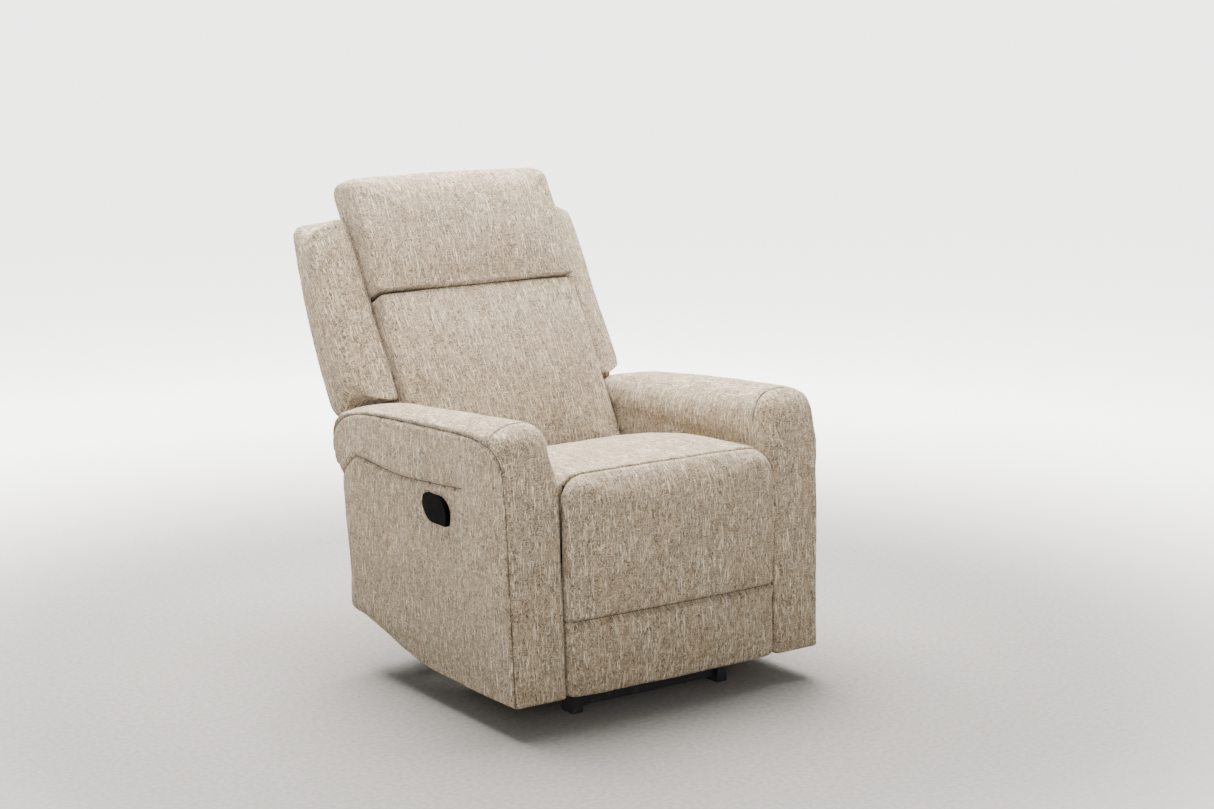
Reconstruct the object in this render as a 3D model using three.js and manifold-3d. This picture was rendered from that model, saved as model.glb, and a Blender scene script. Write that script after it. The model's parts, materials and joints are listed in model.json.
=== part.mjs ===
// Manual recliner armchair: two padded arms on a low steel base, a sliding seat box with a reclining back,
// and a footrest carried on folding links. Millimetres, +Z up, the chair faces -Y, left is -X.
import * as THREE from "three";
import { mergeVertices } from "three/addons/utils/BufferGeometryUtils.js";
import Module from "manifold-3d";

const wasm = await Module();
wasm.setup();

// ---- Driving dimensions ----
const GAP = 0.3; // left between two pieces that touch

const ARM_INNER = 268; // from the middle of the chair to an arm's inner face
const ARM_OUTER = 400; // to the outer face of an arm pad
const ARM_COVER_OUTER = 394; // to the outer face of the panel below the pad
const ARM_SPLIT = 470; // height where the pad sits on the covered arm box
const ARM_WALL = 18;
const ARM_ROUNDING = 24;

const SEAT_FRONT = -428;
const SEAT_REAR = 4;
const SEAT_BOTTOM = 373; // underside of the seat cushion
const SEAT_RAIL_BOTTOM = 334;
const SEAT_HALF = 262;
const RAIL_THICKNESS = 25;

const BASE_RAIL_X = 187.5; // from the middle to a base rail's centre line
const TUBE = 25;
const FOOT_HEIGHT = 30;
const FOOT_DEPTH = 40;
const FRONT_FOOT_Y = -375;
const REAR_FOOT_Y = 190;

const BACK_TILT = THREE.MathUtils.degToRad(30); // of the back from upright, at rest
const BACK_FOOT = [56, 445]; // y and z where the back's face meets the seat
const BACK_HALF = 262;
const HEAD_SEAM = 412; // along the back, from the seat to the seam under the head cushion
const BACK_TOP = 702;
const WING_BOTTOM = 184;
const WING_TOP = 640;
const WING_INNER = 266;
const WING_OUTER = 362;
const POST_FRONT = 100; // behind the back's face
const POST_REAR = 132;

const PAD_BACK = -445; // rear face of the footrest pad
const BOARD_BACK = -432.7;

// Joint axes, each as y and z.
const BACK_PIVOT = [110, 330];
const DRIVE_PIVOT = [-139.8, 289.2];
const ELBOW = [-365.5, 91.6];
const BOARD_PIVOT = [-417, 312];
const HANDLE_PIVOT = [-222, 424];
const LIFT_LENGTH = 190;
const LIFT_FOOT_Z = 43;
const LIFT_LEAN = Math.asin(22.5 / LIFT_LENGTH);
const LIFT_FEET = { front: -175, rear: 20 }; // y of each lift link's lower pivot

// Each pair of plates stands in its own vertical plane: distance from the middle, then thickness.
const PLANES = {
  lift: [203, 4.5],
  drive: [209.5, 4.5],
  ottoman: [216, 4.5],
  mechanism: [224, 5],
  bracket: [231, 4.6],
};
const PIN = 5;
const PIN_HOLE = 8;
const SIDES = [
  ["left", -1],
  ["right", 1],
];

// ---- Materials ----
const FABRIC = new THREE.MeshStandardMaterial({ color: 0xafa391, roughness: 0.95, metalness: 0 });
const WOOD = new THREE.MeshStandardMaterial({ color: 0xc9a877, roughness: 0.8, metalness: 0 });
const STEEL = new THREE.MeshStandardMaterial({ color: 0x161616, roughness: 0.45, metalness: 0.6 });
const ZINC = new THREE.MeshStandardMaterial({ color: 0x9a9c9e, roughness: 0.4, metalness: 0.9 });
const PLASTIC = new THREE.MeshStandardMaterial({ color: 0x141414, roughness: 0.5, metalness: 0 });

// ---- Shape helpers ----

// A closed outline from corners [a, b, cut]; a cut rounds the corner from that far before it to that far after.
function roundedShape(corners) {
  const shape = new THREE.Shape();
  corners.forEach(([a, b, cut = 0], i) => {
    const corner = new THREE.Vector2(a, b);
    const before = new THREE.Vector2(...corners.at(i - 1)).sub(corner).setLength(cut).add(corner);
    const next = corners[(i + 1) % corners.length];
    const after = new THREE.Vector2(...next).sub(corner).setLength(cut).add(corner);
    if (i === 0) shape.moveTo(before.x, before.y);
    else shape.lineTo(before.x, before.y);
    if (cut > 0) shape.quadraticCurveTo(a, b, after.x, after.y);
  });
  shape.closePath();
  return shape;
}

function extruded(corners, depth, bevel) {
  return new THREE.ExtrudeGeometry(roundedShape(corners), {
    depth: depth - 2 * bevel,
    bevelEnabled: bevel > 0,
    bevelThickness: bevel,
    bevelSize: bevel,
    bevelOffset: -bevel,
    bevelSegments: 2,
    curveSegments: 4,
  }).translate(0, 0, bevel);
}

const SIDE_VIEW = new THREE.Matrix4().makeBasis(
  new THREE.Vector3(0, 1, 0),
  new THREE.Vector3(0, 0, 1),
  new THREE.Vector3(1, 0, 0),
);

// A side-view outline of y and z, carried across the chair from x0 to x1.
function across(corners, x0, x1, bevel = 0) {
  return extruded(corners, x1 - x0, bevel).translate(0, 0, x0).applyMatrix4(SIDE_VIEW);
}

// The same on one side of the chair, from a distance out from the middle.
function onSide(corners, side, inner, thickness, bevel = 0) {
  const x0 = side > 0 ? inner : -inner - thickness;
  return across(corners, x0, x0 + thickness, bevel);
}

function box(x0, x1, y0, y1, z0, z1) {
  return new THREE.BoxGeometry(x1 - x0, y1 - y0, z1 - z0).translate(
    (x0 + x1) / 2,
    (y0 + y1) / 2,
    (z0 + z1) / 2,
  );
}

function sideBox(side, inner, outer, y0, y1, z0, z1) {
  return side > 0 ? box(inner, outer, y0, y1, z0, z1) : box(-outer, -inner, y0, y1, z0, z1);
}

// A round bar along X, centred on [y, z], between two distances out from the middle.
function sideRod(side, [y, z], radius, inner, outer, sides = 12) {
  return new THREE.CylinderGeometry(radius, radius, outer - inner, sides)
    .rotateZ(Math.PI / 2)
    .translate((side * (inner + outer)) / 2, y, z);
}

// A flat link's outline: round ends about [y, z] points a and b.
function linkOutline([ay, az], [by, bz], half) {
  const along = Math.atan2(bz - az, by - ay);
  const outline = [];
  for (const [y, z, start] of [
    [by, bz, along - Math.PI / 2],
    [ay, az, along + Math.PI / 2],
  ])
    for (let step = 0; step <= 6; step++) {
      const angle = start + (step * Math.PI) / 6;
      outline.push([y + half * Math.cos(angle), z + half * Math.sin(angle)]);
    }
  return outline;
}

// ---- Booleans ----
function solid(geometry) {
  const bare = new THREE.BufferGeometry().setAttribute("position", geometry.getAttribute("position"));
  const merged = mergeVertices(geometry.index ? bare.setIndex(geometry.index) : bare, 1e-3);
  const mesh = new wasm.Mesh({
    numProp: 3,
    vertProperties: new Float32Array(merged.attributes.position.array),
    triVerts: new Uint32Array(merged.index.array),
  });
  return new wasm.Manifold(mesh);
}

function surface(manifold) {
  const { vertProperties, triVerts } = manifold.getMesh();
  const geometry = new THREE.BufferGeometry()
    .setAttribute("position", new THREE.BufferAttribute(vertProperties, 3))
    .setIndex(new THREE.BufferAttribute(triVerts, 1));
  geometry.computeVertexNormals();
  return geometry;
}

function join(first, ...others) {
  return surface(others.reduce((whole, next) => whole.add(solid(next)), solid(first)));
}

function cut(first, ...tools) {
  return surface(tools.reduce((whole, tool) => whole.subtract(solid(tool)), solid(first)));
}

function clip(geometry, keep) {
  return surface(solid(geometry).intersect(solid(keep)));
}

function part(name, material, geometry) {
  const mesh = new THREE.Mesh(geometry, material);
  mesh.name = name;
  return mesh;
}

// A pair of identical pieces, one on each side of the chair.
function pair(name, material, make) {
  return SIDES.map(([word, side]) => part(`${name}_${word}`, material, make(side)));
}

// ---- Base ----
const RAIL_TOP = FOOT_HEIGHT + TUBE;
const RAIL_FRONT = FRONT_FOOT_Y - FOOT_DEPTH / 2;
const RAIL_BACK = REAR_FOOT_Y + FOOT_DEPTH / 2;
const RAIL_INNER = BASE_RAIL_X - TUBE / 2;
const RAIL_OUTER = BASE_RAIL_X + TUBE / 2;
const ARM_BAR_TOP = RAIL_TOP + GAP + 8;

function baseRail(side) {
  return sideBox(side, RAIL_INNER, RAIL_OUTER, RAIL_FRONT, RAIL_BACK, FOOT_HEIGHT, RAIL_TOP);
}

function foot(y) {
  const half = FOOT_DEPTH / 2;
  return (side) => sideBox(side, RAIL_INNER, RAIL_OUTER, y - half, y + half, 0, FOOT_HEIGHT - GAP);
}

function crossbar(y) {
  const reach = RAIL_INNER - GAP;
  return box(-reach, reach, y - 9, y + 9, 12, 28);
}

// A flat bar over both base rails that carries the two arm boxes at its ends.
function armBar(y) {
  const reach = ARM_INNER + 50;
  return box(-reach, reach, y - 20, y + 20, RAIL_TOP + GAP, ARM_BAR_TOP);
}

function base() {
  return [
    ...pair("base_rail", STEEL, baseRail),
    ...pair("front_foot", STEEL, foot(FRONT_FOOT_Y)),
    ...pair("rear_foot", STEEL, foot(REAR_FOOT_Y)),
    part("front_crossbar", STEEL, crossbar(FRONT_FOOT_Y)),
    part("rear_crossbar", STEEL, crossbar(REAR_FOOT_Y)),
    part("front_arm_bar", STEEL, armBar(-330)),
    part("rear_arm_bar", STEEL, armBar(-128)),
  ];
}

// ---- Arms ----
// Both outlines run past the split height, where they are cut off level.
const PAD_OUTLINE = [
  [-444, 400],
  [240, 400],
  [248, 474, 34],
  [235, 562, 52],
  [70, 590, 60],
  [-190, 610, 80],
  [-437, 624, 70],
];
const COVER_OUTLINE = [
  [-474, 64],
  [-150, 66, 60],
  [182, 126],
  [212, 420, 26],
  [256, 500],
  [-445, 500],
];
const ARM_CAVITY = [
  [-455, 0],
  [150, 0],
  [162, 60],
  [194, 414],
  [226, 468],
  [225, 500],
  [-430, 500],
];
const CAVITY_INNER = ARM_INNER + ARM_WALL;
const CAVITY_OUTER = ARM_COVER_OUTER - 14;
const FRAME_TOP = ARM_SPLIT - GAP;

function armPad(side) {
  const body = onSide(PAD_OUTLINE, side, ARM_INNER, ARM_OUTER - ARM_INNER, ARM_ROUNDING);
  return clip(body, sideBox(side, 0, 500, -600, 400, ARM_SPLIT, 800));
}

function armCover(side) {
  const body = onSide(COVER_OUTLINE, side, ARM_INNER, ARM_COVER_OUTER - ARM_INNER, 8);
  const lower = clip(body, sideBox(side, 0, 500, -600, 400, 0, ARM_SPLIT - GAP));
  const hollow = onSide(ARM_CAVITY, side, CAVITY_INNER, CAVITY_OUTER - CAVITY_INNER);
  if (side > 0) return cut(lower, hollow);
  return cut(lower, hollow, sideRod(side, HANDLE_PIVOT, 16.5, CAVITY_OUTER - 10, ARM_COVER_OUTER + 5, 20));
}

// Plywood sheet against the arm's inner wall.
function armPanel(side) {
  const outline = [
    [-445, ARM_BAR_TOP + GAP],
    [-150, ARM_BAR_TOP + GAP],
    [156, 128],
    [188, 414],
    [216, 466],
    [216, FRAME_TOP],
    [-427, FRAME_TOP],
  ];
  return onSide(outline, side, CAVITY_INNER + GAP, 12);
}

const POST_INNER = CAVITY_INNER + 12 + 2 * GAP;
const POST_OUTER = CAVITY_OUTER - GAP;

function armFrontPost(side) {
  return sideBox(side, POST_INNER, POST_OUTER, -425, -385, ARM_BAR_TOP + GAP, FRAME_TOP);
}

function armRearPost(side) {
  return sideBox(side, POST_INNER, POST_OUTER, 105, 145, 126, FRAME_TOP);
}

function armTopRail(side) {
  return sideBox(side, POST_INNER, POST_OUTER, -385 + GAP, 105 - GAP, FRAME_TOP - 26, FRAME_TOP);
}

// Covered panel that closes the chair's rear between the two arms, below the back.
function rearSkirt() {
  const outline = [
    [160, 80],
    [169, 80],
    [191.5, 299],
    [182.5, 299],
  ];
  const reach = ARM_INNER - 2;
  return across(outline, -reach, reach);
}

function arms() {
  return [
    ...pair("arm_pad", FABRIC, armPad),
    ...pair("arm_cover", FABRIC, armCover),
    ...pair("arm_panel", WOOD, armPanel),
    ...pair("arm_front_post", WOOD, armFrontPost),
    ...pair("arm_rear_post", WOOD, armRearPost),
    ...pair("arm_top_rail", WOOD, armTopRail),
    part("rear_skirt", FABRIC, rearSkirt()),
  ];
}

// ---- Release handle and its cable ----
const CABLE_RADIUS = 3;

// A flat paddle outside the left arm on a shaft that runs in a bushing.
function releaseHandle() {
  const [y, z] = HANDLE_PIVOT;
  const outline = [
    [y - 27, z + 2, 16],
    [y - 22, z - 31, 8],
    [y + 48, z - 31, 20],
    [y + 74, z, 16],
    [y + 66, z + 27, 9],
    [y - 2, z + 27, 16],
  ];
  const paddle = onSide(outline, -1, ARM_COVER_OUTER + 1, 13, 2.5);
  const shaft = sideRod(-1, HANDLE_PIVOT, 7, 335, ARM_COVER_OUTER + 3);
  const horn = onSide(linkOutline(HANDLE_PIVOT, [y, z - 24], 8), -1, 341, 5);
  return join(paddle, shaft, horn);
}

function handleBushing() {
  const body = sideRod(-1, HANDLE_PIVOT, 16, CAVITY_OUTER - 4, ARM_COVER_OUTER, 20);
  return cut(body, sideRod(-1, HANDLE_PIVOT, 8, CAVITY_OUTER - 10, ARM_COVER_OUTER + 5, 16));
}

// From below the handle's horn, down inside the arm and inward under it to the latch.
function releaseCable() {
  const y = HANDLE_PIVOT[0];
  const route = new THREE.CurvePath();
  const corner = 30;
  const low = ARM_BAR_TOP - 20;
  const points = [
    [-350, y, 385],
    [-350, y, low + corner],
    [-350, y, low],
    [-350 + corner, y, low],
    [-224, y, low],
  ].map((point) => new THREE.Vector3(...point));
  route.add(new THREE.LineCurve3(points[0], points[1]));
  route.add(new THREE.QuadraticBezierCurve3(points[1], points[2], points[3]));
  route.add(new THREE.LineCurve3(points[3], points[4]));
  const section = new THREE.Shape().absarc(0, 0, CABLE_RADIUS, 0, 2 * Math.PI);
  return new THREE.ExtrudeGeometry(section, { steps: 40, extrudePath: route, curveSegments: 4 });
}

function latchHousing() {
  const y = HANDLE_PIVOT[0];
  return box(-223.5, -RAIL_OUTER - GAP, y - 18, y + 18, 32, 54);
}

// ---- Seat ----
function seatCushion() {
  const outline = [
    [SEAT_FRONT, SEAT_BOTTOM],
    [SEAT_REAR, SEAT_BOTTOM],
    [46, 449, 26],
    [-60, 470, 60],
    [-250, 502, 80],
    [SEAT_FRONT, 519, 28],
  ];
  return across(outline, -SEAT_HALF, SEAT_HALF, 10);
}

const SEAT_RAIL_TOP = SEAT_BOTTOM - GAP;
const SIDE_RAIL_INNER = SEAT_HALF - 2 - RAIL_THICKNESS;

function seatSideRail(side) {
  const outer = SIDE_RAIL_INNER + RAIL_THICKNESS;
  return sideBox(side, SIDE_RAIL_INNER, outer, SEAT_FRONT + 3, 0, SEAT_RAIL_BOTTOM, SEAT_RAIL_TOP);
}

function seatCrossRail(y0) {
  const reach = SIDE_RAIL_INNER - GAP;
  return box(-reach, reach, y0, y0 + RAIL_THICKNESS, SEAT_RAIL_BOTTOM, SEAT_RAIL_TOP);
}

// Flat springs from the front rail to the rear rail, tied together by two cross bands.
function springDeck() {
  const front = SEAT_FRONT + 3 + RAIL_THICKNESS + GAP;
  const rear = -RAIL_THICKNESS - GAP;
  const bottom = SEAT_BOTTOM - 14;
  const springs = [-180, -90, 0, 90, 180].map((x) => box(x - 11, x + 11, front, rear, bottom, bottom + 4));
  const bands = [-280, -140].map((y) => box(-200, 200, y - 8, y + 8, bottom + 1, bottom + 3));
  return join(...springs, ...bands);
}

function liftHead(place) {
  const lean = LIFT_LENGTH * Math.sin(LIFT_LEAN);
  const halfRise = (LIFT_LENGTH * (1 + Math.cos(LIFT_LEAN))) / 2;
  return [LIFT_FEET[place] + lean, LIFT_FOOT_Z + halfRise];
}

// Side plate under the seat that carries every pivot of the mechanism.
function mechanismPlate(side) {
  const [inner, thickness] = PLANES.mechanism;
  const outline = [
    [-300, SEAT_RAIL_BOTTOM - GAP, 8],
    [-290, 300, 16],
    [-190, 222, 16],
    [-126, 216, 16],
    [-90, 255, 16],
    [-10, 255, 16],
    [22, 216, 16],
    [66, 222, 16],
    [128, 308, 20],
    [128, 350, 18],
    [90, 350, 18],
    [60, SEAT_RAIL_BOTTOM - GAP, 10],
  ];
  const plate = onSide(outline, side, inner, thickness);
  const flange = sideBox(side, inner, 258, -300, -10, SEAT_RAIL_BOTTOM - 5, SEAT_RAIL_BOTTOM - GAP);
  const holes = [BACK_PIVOT, DRIVE_PIVOT].map((pivot) =>
    sideRod(side, pivot, PIN_HOLE, inner - 3, inner + thickness + 3, 14),
  );
  const pins = ["front", "rear"].map((place) =>
    sideRod(side, liftHead(place), PIN, PLANES.lift[0] - 1, inner + thickness / 2, 10),
  );
  return join(cut(plate, ...holes), flange, ...pins);
}

function seat() {
  return [
    part("seat_cushion", FABRIC, seatCushion()),
    ...pair("seat_side_rail", WOOD, seatSideRail),
    part("seat_front_rail", WOOD, seatCrossRail(SEAT_FRONT + 3)),
    part("seat_rear_rail", WOOD, seatCrossRail(-RAIL_THICKNESS)),
    part("seat_spring_deck", ZINC, springDeck()),
    ...pair("mechanism_plate", STEEL, mechanismPlate),
  ];
}

// ---- Lift links between the base rails and the mechanism plates ----
function liftLink(place) {
  const lower = [LIFT_FEET[place], LIFT_FOOT_Z];
  const upper = [
    lower[0] + LIFT_LENGTH * Math.sin(LIFT_LEAN),
    lower[1] + LIFT_LENGTH * Math.cos(LIFT_LEAN),
  ];
  const [inner, thickness] = PLANES.lift;
  return (side) => {
    const link = onSide(linkOutline(lower, upper, 13), side, inner, thickness);
    const eye = sideRod(side, upper, PIN_HOLE, inner - 3, inner + thickness + 3, 14);
    const pin = sideRod(side, lower, PIN, RAIL_OUTER + GAP, inner + 2, 10);
    return join(cut(link, eye), pin);
  };
}

// ---- Footrest links ----
function driveLink(side) {
  const [inner, thickness] = PLANES.drive;
  const link = onSide(linkOutline(DRIVE_PIVOT, ELBOW, 12), side, inner, thickness);
  const pin = sideRod(side, DRIVE_PIVOT, PIN, inner + 1, 230, 10);
  const eye = sideRod(side, ELBOW, PIN + 1.5, inner - 3, inner + thickness + 3, 12);
  return join(cut(link, eye), pin);
}

function torqueTube() {
  const reach = PLANES.drive[0] - GAP;
  return sideRod(1, DRIVE_PIVOT, 11, -reach, reach, 14);
}

function ottomanLink(side) {
  const [inner, thickness] = PLANES.ottoman;
  const link = onSide(linkOutline(ELBOW, BOARD_PIVOT, 11), side, inner, thickness);
  const pin = sideRod(side, ELBOW, PIN, PLANES.drive[0] - 2, inner + 2, 10);
  const eye = sideRod(side, BOARD_PIVOT, PIN + 1.5, inner - 3, inner + thickness + 3, 12);
  return join(cut(link, eye), pin);
}

// ---- Footrest ----
function footrestPad() {
  const outline = [
    [PAD_BACK, 62],
    [PAD_BACK, 514],
    [-478, 510, 26],
    [-489, 300, 100],
    [-489, 62, 24],
  ];
  return across(outline, -260, 260, 6);
}

function footrestBoard() {
  const outline = [
    [PAD_BACK + GAP, 82],
    [BOARD_BACK, 82],
    [BOARD_BACK, 496],
    [PAD_BACK + GAP, 496],
  ];
  return across(outline, -252, 252);
}

// Angle bracket on the back of the board, with the ear that the link's end turns on.
function footrestBracket(side) {
  const [y, z] = BOARD_PIVOT;
  const back = BOARD_BACK + GAP;
  const inner = PLANES.lift[0];
  const flange = sideBox(side, inner, inner + 30, back, back + 3, z - 110, z + 12);
  const ear = onSide(linkOutline([y, z], [y, z - 60], 10), side, inner, 4.5);
  const web = sideBox(side, inner, inner + 4.5, back, y, z - 60, z);
  const pin = sideRod(side, BOARD_PIVOT, PIN, inner + 2, PLANES.ottoman[0] + 6, 10);
  return join(flange, ear, web, pin);
}

function footrest() {
  return [
    part("footrest_pad", FABRIC, footrestPad()),
    part("footrest_board", WOOD, footrestBoard()),
    ...pair("footrest_bracket", STEEL, footrestBracket),
  ];
}

// ---- Back, drawn upright with its face at y = 0 and the seat line at z = 0 ----
const POST_OUTER_X = BACK_HALF;
const POST_INNER_X = BACK_HALF - 26;
const CUSHION_DEPTH = POST_FRONT - 14;

function lumbarCushion() {
  const outline = [
    [0, -30, 28],
    [CUSHION_DEPTH, -30],
    [CUSHION_DEPTH, HEAD_SEAM - 1],
    [0, HEAD_SEAM - 1, 30],
    [-6, 200, 120],
  ];
  return across(outline, -BACK_HALF, BACK_HALF, 12);
}

function headCushion() {
  const outline = [
    [-18, HEAD_SEAM + 1, 30],
    [CUSHION_DEPTH, HEAD_SEAM + 1],
    [CUSHION_DEPTH, BACK_TOP - 4, 30],
    [22, BACK_TOP + 4, 27],
    [-22, BACK_TOP - 26, 24],
    [-30, 540, 60],
  ];
  return across(outline, -BACK_HALF, BACK_HALF, 12);
}

function wing(side) {
  const outline = [
    [40, WING_BOTTOM + 4, 32],
    [176, WING_BOTTOM, 36],
    [178, 400, 120],
    [134, WING_TOP - 2, 30],
    [52, WING_TOP, 26],
  ];
  return onSide(outline, side, WING_INNER, WING_OUTER - WING_INNER, 14);
}

function backPost(side) {
  return sideBox(side, POST_INNER_X, POST_OUTER_X, POST_FRONT, POST_REAR, -95, 626);
}

function backRail(z) {
  const reach = POST_INNER_X - GAP;
  return box(-reach, reach, POST_FRONT, POST_FRONT + 22, z - 24, z + 24);
}

function backPanel() {
  const outline = [
    [POST_REAR + GAP, -60],
    [174, -60],
    [176, 400, 120],
    [142, 636],
    [POST_FRONT + 4, 636],
    [POST_FRONT + 4, 627],
    [POST_REAR + GAP, 627],
  ];
  return across(outline, -POST_OUTER_X, POST_OUTER_X);
}

function back() {
  const group = new THREE.Group();
  group.position.set(0, ...BACK_FOOT);
  group.rotation.x = -BACK_TILT;
  group.add(
    part("lumbar_cushion", FABRIC, lumbarCushion()),
    part("head_cushion", FABRIC, headCushion()),
    ...pair("wing", FABRIC, wing),
    ...pair("back_post", WOOD, backPost),
    part("back_top_rail", WOOD, backRail(598)),
    part("back_middle_rail", WOOD, backRail(330)),
    part("back_bottom_rail", WOOD, backRail(90)),
    part("back_panel", FABRIC, backPanel()),
  );
  return group;
}

// Steel arm on each back post's inner face that turns on the mechanism plate.
function backBracket(side) {
  const [inner, thickness] = PLANES.bracket;
  const [y, z] = BACK_PIVOT;
  const reach = 110;
  const up = [y + reach * Math.sin(BACK_TILT) + 8, z + reach * Math.cos(BACK_TILT)];
  const arm = onSide(linkOutline(BACK_PIVOT, up, 14), side, inner, thickness);
  return join(arm, sideRod(side, BACK_PIVOT, PIN, PLANES.mechanism[0] - 3, inner + 2, 10));
}

const chair = new THREE.Group();
chair.add(
  ...base(),
  ...arms(),
  part("release_handle", PLASTIC, releaseHandle()),
  part("handle_bushing", PLASTIC, handleBushing()),
  part("release_cable", PLASTIC, releaseCable()),
  part("latch_housing", STEEL, latchHousing()),
  ...seat(),
  ...pair("front_lift_link", STEEL, liftLink("front")),
  ...pair("rear_lift_link", STEEL, liftLink("rear")),
  ...pair("drive_link", STEEL, driveLink),
  part("torque_tube", STEEL, torqueTube()),
  ...pair("ottoman_link", STEEL, ottomanLink),
  ...footrest(),
  back(),
  ...pair("back_bracket", STEEL, backBracket),
);

export default chair;
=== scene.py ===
"""The looks of a recliner armchair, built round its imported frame. Metres; the chair faces -Y."""
import json
import math
from types import SimpleNamespace

import bmesh
import bpy
import numpy as np
from mathutils import Matrix, Vector
from mathutils.bvhtree import BVHTree
from mathutils.kdtree import KDTree
from mathutils.noise import noise as perlin


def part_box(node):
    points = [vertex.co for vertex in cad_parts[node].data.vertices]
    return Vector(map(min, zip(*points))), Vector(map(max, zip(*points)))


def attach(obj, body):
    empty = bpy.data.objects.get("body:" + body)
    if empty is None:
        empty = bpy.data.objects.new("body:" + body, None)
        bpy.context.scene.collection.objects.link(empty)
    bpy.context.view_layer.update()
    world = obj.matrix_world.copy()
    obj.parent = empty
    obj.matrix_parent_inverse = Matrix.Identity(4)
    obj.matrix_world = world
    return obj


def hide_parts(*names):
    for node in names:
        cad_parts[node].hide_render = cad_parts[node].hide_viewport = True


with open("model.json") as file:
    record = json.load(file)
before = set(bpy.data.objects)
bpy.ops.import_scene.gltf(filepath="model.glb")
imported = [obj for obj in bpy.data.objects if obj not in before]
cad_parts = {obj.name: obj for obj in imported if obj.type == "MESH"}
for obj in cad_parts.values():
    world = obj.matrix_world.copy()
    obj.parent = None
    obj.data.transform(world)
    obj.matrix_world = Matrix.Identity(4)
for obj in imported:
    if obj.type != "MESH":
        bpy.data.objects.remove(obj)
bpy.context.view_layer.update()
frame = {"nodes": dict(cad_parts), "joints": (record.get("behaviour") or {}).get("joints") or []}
NODES = frame["nodes"]

# ---------------------------------------------------------------- camera, floor and light
CAMERA_AT = (-2.868, -4.288, 1.5546)
CAMERA_FORWARD = (0.5671, 0.8017, -0.1887)
CAMERA_LENS = 71.17
CAMERA_SENSOR = 36
LAMP_AIM = (0, 0, 0.4)  # about the middle of the chair
FLOOR_REACH = 600.0


def set_up_camera():
    data = bpy.data.cameras.new("camera")
    data.sensor_width = CAMERA_SENSOR
    data.lens = CAMERA_LENS
    camera = bpy.data.objects.new("camera", data)
    camera.location = CAMERA_AT
    camera.rotation_mode = "QUATERNION"
    camera.rotation_quaternion = Vector(CAMERA_FORWARD).to_track_quat("-Z", "Y")
    bpy.context.collection.objects.link(camera)
    bpy.context.scene.camera = camera


def area_light(name, at, side, power, colour):
    """A square soft box that faces the chair."""
    data = bpy.data.lights.new(name, "AREA")
    data.shape = "RECTANGLE"
    data.size = side
    data.size_y = side
    data.energy = power
    data.color = colour
    lamp = bpy.data.objects.new(name, data)
    lamp.location = at
    aim = Vector(LAMP_AIM) - Vector(at)
    lamp.rotation_mode = "QUATERNION"
    lamp.rotation_quaternion = aim.to_track_quat("-Z", "Y")
    bpy.context.collection.objects.link(lamp)


def set_up_light():
    world = bpy.data.worlds.new("studio")
    world.use_nodes = True
    backdrop = world.node_tree.nodes["Background"]
    backdrop.inputs["Color"].default_value = (1.0, 0.985, 0.965, 1)
    backdrop.inputs["Strength"].default_value = 0.60
    bpy.context.scene.world = world
    area_light("overhead", (0.35, 1.0, 3.0), 3.0, 820, (1.0, 0.98, 0.955))
    area_light("front", (-2.6, -3.6, 1.5), 1.6, 62, (1.0, 0.98, 0.96))


# ---------------------------------------------------------------- materials
class Shader:
    """A node tree built by short calls. A value given to a node is a number, a colour or a socket."""

    def __init__(self, name):
        self.material = bpy.data.materials.new(name)
        self.material.use_nodes = True
        self.tree = self.material.node_tree
        self.surface = self.tree.nodes["Principled BSDF"]

    def node(self, kind, inputs=None, **settings):
        made = self.tree.nodes.new("ShaderNode" + kind)
        for key, value in settings.items():
            setattr(made, key, value)
        for key, value in (inputs or {}).items():
            self.feed(made.inputs[key], value)
        return made

    def feed(self, socket, value):
        if isinstance(value, bpy.types.NodeSocket):
            self.tree.links.new(value, socket)
        else:
            socket.default_value = value

    def math(self, operation, a, b=0.0):
        return self.node("Math", {0: a, 1: b}, operation=operation).outputs[0]

    def ramp(self, value, low, high, to_low=0.0, to_high=1.0):
        inputs = {"Value": value, "From Min": low, "From Max": high, "To Min": to_low, "To Max": to_high}
        return self.node("MapRange", inputs, interpolation_type="SMOOTHSTEP").outputs[0]

    def noise(self, vector, scale, detail=2.0, stretch=(1, 1, 1), distortion=0.0, flat=False, shift=0.0):
        """Noise of that many cells in a metre, each axis multiplied by its stretch."""
        scaled = self.node("Mapping", {
            "Vector": vector,
            "Location": (shift, shift, shift),
            "Scale": tuple(scale * s for s in stretch),
        }).outputs[0]
        inputs = {"Vector": scaled, "Scale": 1.0, "Detail": detail, "Distortion": distortion}
        return self.node("TexNoise", inputs, noise_dimensions="2D" if flat else "3D").outputs[0]

    def mix(self, factor, a, b):
        made = self.node("Mix", data_type="RGBA")
        self.feed(made.inputs[0], factor)
        self.feed(made.inputs[6], a)
        self.feed(made.inputs[7], b)
        return made.outputs[2]

    def bump(self, height, distance, strength):
        return self.node("Bump", {"Height": height, "Distance": distance, "Strength": strength}).outputs[0]

    def place(self):
        """Object coordinates, which on a CAD node are the row frame's."""
        return self.node("TexCoord").outputs["Object"]

    def attribute(self, name):
        return self.node("Attribute", attribute_name=name).outputs["Fac"]

    def done(self, **inputs):
        """Feeds the surface's inputs, whose names are written with _ for a space."""
        for key, value in inputs.items():
            self.feed(self.surface.inputs[key.replace("_", " ")], value)
        return self.material


def rgb(red, green, blue):
    return (red, green, blue, 1.0)


CREAM = rgb(0.51, 0.40, 0.268)
PALE_SLUB = rgb(0.92, 0.78, 0.56)
SAND = rgb(0.160, 0.106, 0.056)
GREY = rgb(0.150, 0.116, 0.074)
BROWN = rgb(0.040, 0.024, 0.011)
SEAM_DARK = rgb(0.032, 0.022, 0.015)
STITCH_LENGTH = 0.0055


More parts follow.
